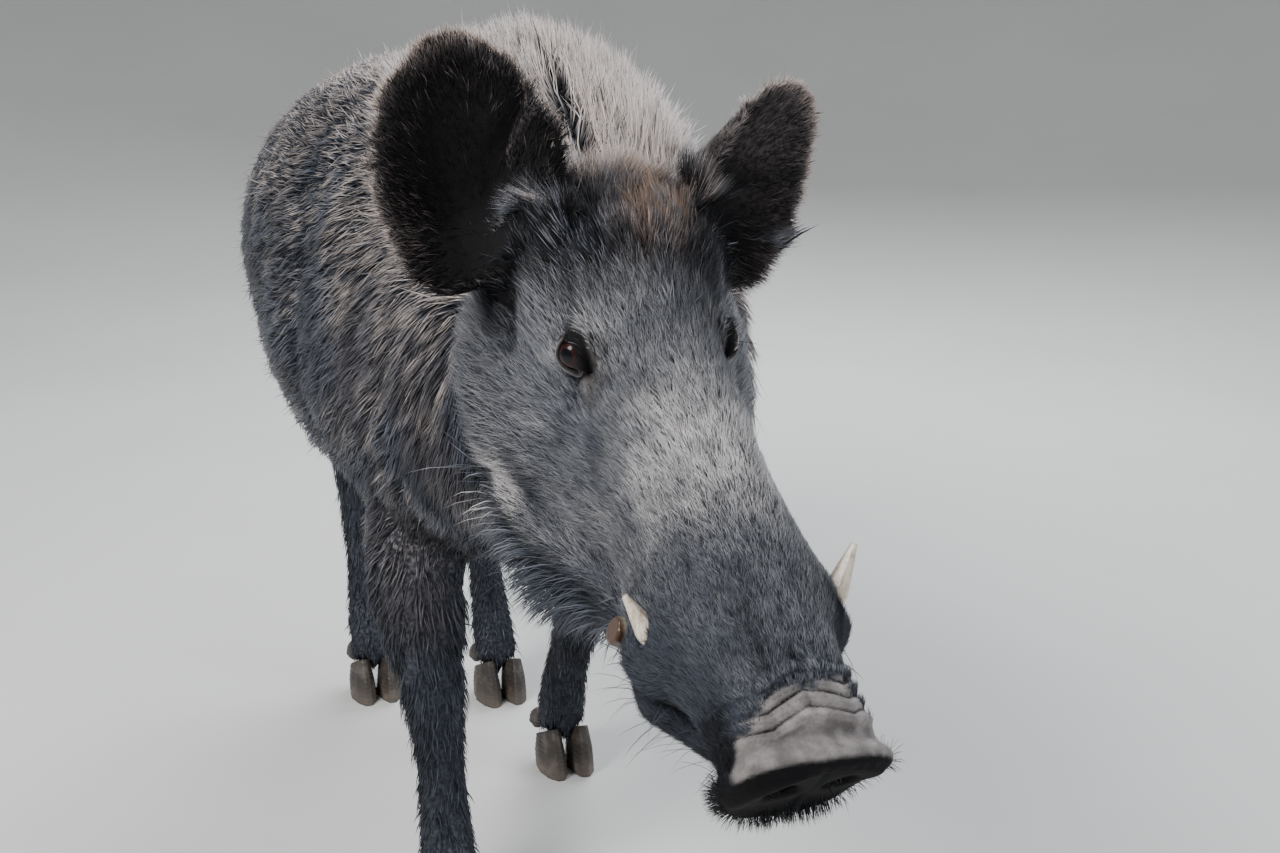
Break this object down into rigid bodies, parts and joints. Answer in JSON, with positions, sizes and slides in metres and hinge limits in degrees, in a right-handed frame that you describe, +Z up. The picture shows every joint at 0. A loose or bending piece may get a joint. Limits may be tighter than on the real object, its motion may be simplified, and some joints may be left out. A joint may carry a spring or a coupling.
{
  "type": "wild boar",
  "caption": "Wild boar standing in mid-stride as a life-size museum model, with a bristly grey coat, upright mane, large ears, short tusks and a broad snout.",
  "frame": {"origin": "middle of the model's bounding box, on the ground under the hooves", "axes": "-Y towards the snout, +X to the boar's own left, +Z up"},
  "size_m": [0.472, 1.515, 0.8804],
  "materials": {
    "bristle_coat": "long coarse bristles, dark at the root and pale at the tip",
    "face_hair": "short dense grey-brown hair over dark skin",
    "ear_hair": "fine dark hair, sparse inside, pale at the rim",
    "leg_hair": "short black-brown bristles",
    "nose_skin": "bare wrinkled grey skin, slightly moist",
    "hoof_horn": "dark ridged horn, worn paler at the edge",
    "ivory": "smooth cream tooth enamel, stained towards the gum",
    "eye": "wet dark red-brown iris under a clear cornea"
  },
  "bodies": {
    "root": {"ear_left": "ear_hair", "ear_right": "ear_hair", "eye_left": "eye", "eye_right": "eye", "fore_left_claw_inner": "hoof_horn", "fore_left_claw_outer": "hoof_horn", "fore_left_dewclaw_inner": "hoof_horn", "fore_left_dewclaw_outer": "hoof_horn", "fore_leg_left_lower": "leg_hair", "fore_leg_left_upper": "leg_hair", "fore_leg_right_lower": "leg_hair", "fore_leg_right_upper": "leg_hair", "fore_right_claw_inner": "hoof_horn", "fore_right_claw_outer": "hoof_horn", "fore_right_dewclaw_inner": "hoof_horn", "fore_right_dewclaw_outer": "hoof_horn", "head": "face_hair", "hind_left_claw_inner": "hoof_horn", "hind_left_claw_outer": "hoof_horn", "hind_left_dewclaw_inner": "hoof_horn", "hind_left_dewclaw_outer": "hoof_horn", "hind_leg_left_lower": "leg_hair", "hind_leg_left_upper": "leg_hair", "hind_leg_right_lower": "leg_hair", "hind_leg_right_upper": "leg_hair", "hind_right_claw_inner": "hoof_horn", "hind_right_claw_outer": "hoof_horn", "hind_right_dewclaw_inner": "hoof_horn", "hind_right_dewclaw_outer": "hoof_horn", "lower_jaw": "face_hair", "neck": "bristle_coat", "snout_disc": "nose_skin", "tail": "leg_hair", "trunk": "bristle_coat", "tusk_lower_left": "ivory", "tusk_lower_right": "ivory", "tusk_upper_left": "ivory", "tusk_upper_right": "ivory"}
  },
  "joints": []
}
